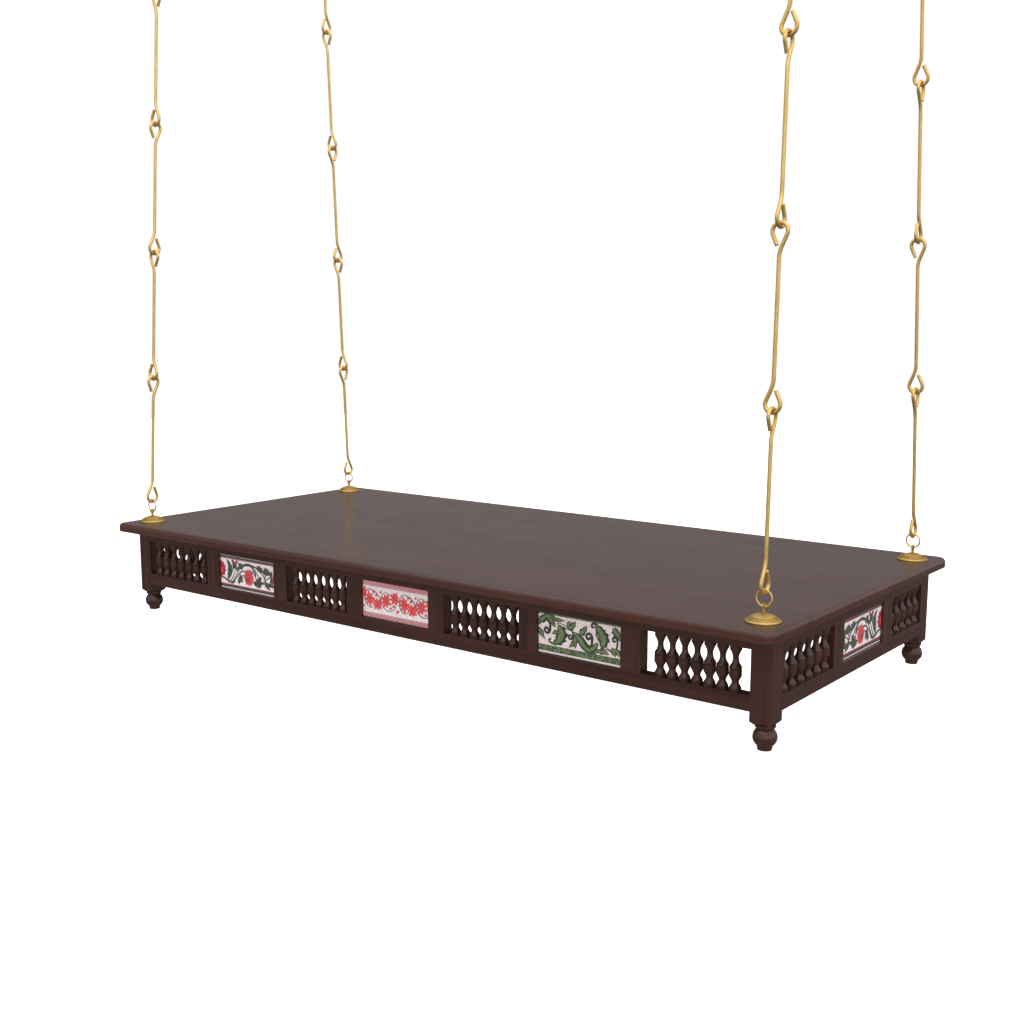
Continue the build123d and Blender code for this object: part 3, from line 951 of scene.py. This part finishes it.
@dataclass
class LaceVineTile(TilePainting):
    """A looping mauve vine with coral leaves between two rose lace bands, on pale grey."""

    ground: Ground = Ground.PALE_GREY
    lace_height: float = 31.5
    first_repeat_mm: float = -68.0
    repeat_mm: float = 92.0
    # Direction in degrees and length, as a share of the longest, of each lobe of a leaf.
    lobes: tuple[tuple[float, float], ...] = (
        (0, 1.0),
        (40, 0.84),
        (-40, 0.84),
        (88, 0.96),
        (-88, 0.96),
        (138, 0.8),
        (-138, 0.8),
        (180, 1.0),
    )

    def draw(self) -> None:
        """Paints the lace bands, the vine and its leaves."""
        for height in (self.lace_height, -self.lace_height):
            self.lace(height)
        for start in (self.first_repeat_mm, self.first_repeat_mm + self.repeat_mm):
            self.loops(start)
        # One more leaf reaches in over the tile's left end.
        self.vine_leaf((-87, 12), 14.0, 60.0)

    def lace(self, height: float) -> None:
        """Paints one band of lace.

        Args:
            height: the height of its middle line.
        """
        pitch = 5.8
        self.band(Paint.PALE_ROSE, height - 4.8, height + 4.8)
        for edge in (-4.0, 4.0):
            self.band(Paint.ROSE, height + edge - 0.45, height + edge + 0.45)
        for step in range(-15, 16):
            turn, rise = (180, 1.8) if step % 2 else (0, -1.8)
            self.stroke(Paint.ROSE, curl((step * pitch, height), pitch / 2, turn, 1.1), [1.1, 0.9])
            self.dot(Paint.ROSE, (step * pitch + pitch / 2, height + rise), 0.75)

    def loops(self, start: float) -> None:
        """Paints the two loops of one repeat of the vine, and what grows in them.

        Args:
            start: the middle of the first loop, along the tile.
        """
        first = [(12, -11), (3, -17), (-9, -12), (-14, 2), (-9, 15), (2, 19.5), (16, 15)]
        first += [(26, 5), (31, -6), (40, -15), (53, -18), (66, -11), (72, 2)]
        first = [(start + along, height) for along, height in first]
        self.stroke(Paint.VINE_MAUVE, first, [0.9, 1.3, 1.3, 1.1])
        second = [(31, -6), (30, 5), (36, 15), (45, 18), (53, 13)]
        second = [(start + along, height) for along, height in second]
        self.stroke(Paint.VINE_MAUVE, second, [1.2, 1.1, 0.8])
        self.vine_leaf((start - 1, 0), 16.5, 100.0)
        self.vine_leaf((start + 20, -8), 14.5, -35.0)
        self.vine_leaf((start + 43, 1), 16.5, 65.0)
        self.vine_leaf((start + 66, 9), 14.5, 60.0)
        berries = ((10, 15), (17, 9), (29, 17), (63, -7), (55, -12), (73, -17), (-17, -15))
        for along, height in berries:
            self.dot(Paint.CORAL, (start + along, height), 2.6)

    def vine_leaf(self, centre: Point, reach: float, turn: float) -> None:
        """Paints one coral leaf of eight lobes, with darker veins.

        Args:
            centre: where its lobes meet.
            reach: the length of the longest lobe.
            turn: the direction of that lobe in degrees.
        """
        round_tip = 0.76
        for angle, share in self.lobes:
            self.petals(Paint.CORAL, centre, reach * share, 5.6, [turn + angle])
            way = math.radians(turn + angle)
            out = reach * share * round_tip
            tip = (centre[0] + math.cos(way) * out, centre[1] + math.sin(way) * out)
            self.dot(Paint.CORAL, tip, 2.2)
        self.petals(Paint.DEEP_RED, centre, reach * 0.6, 1.4, [turn, turn + 88, turn - 88])


@dataclass
class AcanthusTile(TilePainting):
    """Green acanthus scrolls with curled tendrils, over a mottled green band, on pinkish white."""

    ground: Ground = Ground.PINKISH

    def draw(self) -> None:
        """Paints the borders and the two scrolls."""
        self.band(Paint.BORDER_GREEN, 33.2, 36.9)
        self.band(Paint.BORDER_GREEN, -32.6, -21.6)
        self.band(Paint.WHITE, -36.9, -33.4)
        self.left_scroll()
        self.stem()
        self.right_scroll()
        self.right_end()

    def left_scroll(self) -> None:
        """Paints the arched leaf at the left with its curl and the hanging serrated leaf."""
        dark = Paint.DARK_GREEN
        self.shaded_leaf([(-90, 12), (-80, 23), (-66, 30), (-50, 27), (-29, 27)], 18, 5, 0.45)
        self.shaded_leaf([(-66, 28), (-58, 22), (-50, 12)], 13, 3)
        tendril = [(-72, 27), (-62, 18), (-62, 8)] + curl((-69, 6), 7, 0, -1.1)
        self.stroke(dark, tendril, [4.6, 5.0, 4.2, 4.4])
        self.shaded_leaf([(-90, 6), (-82, 0), (-73, -13)], 12.5, 2)
        self.shaded_leaf([(-44, 17), (-37, 4), (-43, -10), (-57, -18)], 28, 6, 0.5)
        self.shaded_leaf([(-40, 4), (-50, 4), (-58, -1)], 9, 2)
        self.stroke(dark, [(-50, -18), (-59, -17)] + curl((-61, -12), 4.2, 280, -0.7), [3.4, 3.2, 3.4])

    def stem(self) -> None:
        """Paints the running stem with its small leaves and tendril."""
        dark = Paint.DARK_GREEN
        self.stroke(dark, [(-47, 20), (-36, 15), (-22, 13), (-8, 9), (6, 9)], [1.6, 2.0, 1.8, 1.2])
        self.stroke(dark, [(-46, 21), (-34, 20), (-22, 15)], [1.0, 1.4, 0.8])
        self.shaded_leaf([(-25, 15), (-16, 19), (-7, 29)], 16, 3)
        self.shaded_leaf([(-24, 15), (-22, 22), (-19, 29)], 10, 2)
        self.shaded_leaf([(1, 9), (8, 14), (17, 25)], 15.5, 3)
        self.stroke(dark, [(-13, 10), (-13, 1)] + curl((-19, 1), 5.4, 0, -1.0), [3.2, 3.8, 3.6])
        self.shaded_leaf([(-9, 7), (-9, -5), (-21, -19)], 15, 3, 0.56)
        self.shaded_leaf([(-10, -4), (-8, -12), (-8, -20)], 9, 1)

    def right_scroll(self) -> None:
        """Paints the sweep down to the right, its curl and the tall serrated leaf."""
        dark = Paint.DARK_GREEN
        self.shaded_leaf([(-10, 9), (0, 0), (12, -13), (30, -19), (48, -11)], 16, 0, 0.6)
        self.shaded_leaf([(20, -17), (32, -11), (39, 0)], 15, 4)
        tendril = [(14, -11), (26, -8), (27, 4)] + curl((20, 6), 7.6, 0, 1.05)
        self.stroke(dark, tendril, [4.6, 5.0, 4.6, 4.6])
        self.shaded_leaf([(46, -8), (52, 6), (44, 20), (32, 32)], 30, 7, 0.56)
        self.shaded_leaf([(48, 4), (40, 12), (33, 13)], 9, 2)
        self.stroke(dark, [(38, 31), (30, 32)] + curl((29, 26.5), 4.0, 100, 0.7), [4.0, 3.6, 3.6])
        self.shaded_leaf([(36, -16), (50, -15), (63, -18)], 12, 3)

    def right_end(self) -> None:
        """Paints the stem, tendril and leaves that run off the tile's right end."""
        dark = Paint.DARK_GREEN
        self.stroke(dark, [(45, -9), (58, -10), (72, -13), (90, -11)], [1.6, 1.8, 2.0])
        self.stroke(dark, [(46, -7), (56, -6), (66, -11)], [1.0, 1.4, 0.8])
        self.shaded_leaf([(66, -7), (72, -12), (76, -20)], 14, 2)
        self.shaded_leaf([(73, -7), (80, -11), (85, -19)], 12, 2)
        self.stroke(dark, [(77, -6), (79, 3)] + curl((73, 9), 5.6, 0, 1.0), [3.2, 4.0, 3.6])
        self.shaded_leaf([(71, 31), (78, 22), (90, 8)], 17, 4, 0.4)


SIDE_ACROSS = {
    "front": Vector((1, 0, 0)),
    "right": Vector((0, 1, 0)),
    "back": Vector((-1, 0, 0)),
    "left": Vector((0, -1, 0)),
}


@dataclass
class TileSet:
    """All the painted tiles of the four sides."""

    long_side_designs: tuple[type[TilePainting], ...] = (
        PomegranateTile,
        LaceVineTile,
        AcanthusTile,
    )

    def build(self) -> None:
        """Paints three tiles on each long side, and the first design mirrored on each end."""
        for side in LONG_SIDES:
            for number, design in enumerate(self.long_side_designs, start=1):
                design(f"{side}_tile_{number}", SIDE_ACROSS[side]).build()
        for side in END_SIDES:
            PomegranateTile(f"{side}_tile_1", SIDE_ACROSS[side], mirrored=True).build()


# ---- Studio ----


@dataclass
class Studio:
    """A pale glowing floor, a soft overhead light and a surround that is brighter in front."""

    floor_drop: float = 0.245
    floor_radius: float = 9.0
    floor_colour: str = "#F4F3F1"
    glow_seen: float = 0.92
    glow_cast: float = 0.40
    overhead_size: float = 6.0
    overhead_power: float = 100.0
    overhead_place: tuple[float, float, float] = (0.0, -0.6, 1.6)
    surround: str = "#FFFFFF"
    # The surround brightens toward its front, from "behind" to "in front" over this range of
    # the dot product, and fades to "below" over this range of height.
    front: tuple[float, float, float] = (0.88, -0.475, 0.0)
    turn_range: tuple[float, float] = (-0.7, 0.8)
    height_range: tuple[float, float] = (-0.2, 0.05)
    strength_in_front: float = 1.18
    strength_behind: float = 0.30
    strength_below: float = 0.12

    def build(self) -> None:
        """Lays the floor, hangs the light and fills the surround."""
        self.lay_floor()
        self.hang_light()
        self.fill_surround()
        log.info("studio: floor, overhead light and surround")

    def lay_floor(self) -> None:
        """Makes the round floor below the feet, which glows and so holds only a faint shadow."""
        mesh = bmesh.new()
        bmesh.ops.create_circle(mesh, cap_ends=True, segments=96, radius=self.floor_radius)
        data = bpy.data.meshes.new("studio_floor")
        mesh.to_mesh(data)
        mesh.free()
        colour = linear(self.floor_colour)
        material, tree, shader = new_surface(
            "lit_white_acrylic", {"Base Color": colour, "Roughness": 0.9, "Emission Color": colour}
        )
        path = add_node(tree, "ShaderNodeLightPath")
        glow = add_node(
            tree,
            "ShaderNodeMapRange",
            {"To Min": self.glow_cast, "To Max": self.glow_seen},
            {"Value": path.outputs["Is Camera Ray"]},
        )
        tree.links.new(glow.outputs["Result"], shader.inputs["Emission Strength"])
        data.materials.append(material)
        floor = bpy.data.objects.new("studio_floor", data)
        floor.location.z = cad_box[0][2] - self.floor_drop
        floor.visible_glossy = False
        bpy.context.scene.collection.objects.link(floor)

    def hang_light(self) -> None:
        """Hangs one softbox over the seat, above the hangers."""
        light = bpy.data.lights.new("overhead_softbox", "AREA")
        light.shape = "SQUARE"
        light.size = self.overhead_size
        light.energy = self.overhead_power
        holder = bpy.data.objects.new("overhead_softbox", light)
        holder.location = self.overhead_place
        bpy.context.scene.collection.objects.link(holder)

    def fill_surround(self) -> None:
        """Lights the object from the surround, which itself is seen as plain white."""
        world = bpy.data.worlds.new("studio_surround")
        bpy.context.scene.world = world
        world.use_nodes = True
        tree = world.node_tree
        tree.nodes.clear()
        direction = add_node(tree, "ShaderNodeTexCoord").outputs["Generated"]
        toward_front = add_node(
            tree, "ShaderNodeVectorMath", {"operation": "DOT_PRODUCT", 1: self.front}, {0: direction}
        )
        around = add_node(
            tree,
            "ShaderNodeMapRange",
            {
                "From Min": self.turn_range[0],
                "From Max": self.turn_range[1],
                "To Min": self.strength_behind,
                "To Max": self.strength_in_front,
            },
            {"Value": toward_front.outputs["Value"]},
        )
        height = add_node(tree, "ShaderNodeSeparateXYZ", links={"Vector": direction})
        strength = add_node(
            tree,
            "ShaderNodeMapRange",
            {
                "From Min": self.height_range[0],
                "From Max": self.height_range[1],
                "To Min": self.strength_below,
            },
            {"Value": height.outputs["Z"], "To Max": around.outputs["Result"]},
        )
        colour = linear(self.surround)
        lit = add_node(
            tree, "ShaderNodeBackground", {"Color": colour}, {"Strength": strength.outputs["Result"]}
        )
        seen = add_node(tree, "ShaderNodeBackground", {"Color": colour, "Strength": 1.0})
        path = add_node(tree, "ShaderNodeLightPath")
        chosen = add_node(
            tree,
            "ShaderNodeMixShader",
            links={0: path.outputs["Is Camera Ray"], 1: lit.outputs[0], 2: seen.outputs[0]},
        )
        add_node(tree, "ShaderNodeOutputWorld", links={"Surface": chosen.outputs[0]})
        bpy.context.scene.view_settings.view_transform = "Standard"


@dataclass
class Viewpoint:
    """The camera, turned about the seat and a little above it."""

    position: tuple[float, float, float] = (1.6455, -2.0756, -1.0135)
    azimuth: float = 37.91
    elevation: float = 9.07
    lens: float = 44.52
    sensor: float = 36.0

    def build(self) -> None:
        """Makes the camera and gives it to the scene."""
        turn = math.radians(self.azimuth)
        tilt = math.radians(self.elevation)
        back = Vector(
            (
                math.sin(turn) * math.cos(tilt),
                -math.cos(turn) * math.cos(tilt),
                math.sin(tilt),
            )
        )
        data = bpy.data.cameras.new("viewpoint")
        data.lens = self.lens
        data.sensor_width = self.sensor
        data.clip_end = 60.0
        camera = bpy.data.objects.new("viewpoint", data)
        camera.rotation_euler = (-back).to_track_quat("-Z", "Y").to_euler()
        camera.location = self.position
        bpy.context.scene.collection.objects.link(camera)
        bpy.context.scene.camera = camera
        log.info("viewpoint: %.1f degrees round, %.1f degrees up", self.azimuth, self.elevation)


def main() -> None:
    """Builds every sub-assembly in order; each one logs a line about what it made."""
    logging.basicConfig(level=logging.INFO, format="%(message)s")
    SeatFrame().dress()
    Hardware().dress()
    TileSet().build()
    Studio().build()
    Viewpoint().build()


if __name__ == "__main__":
    main()
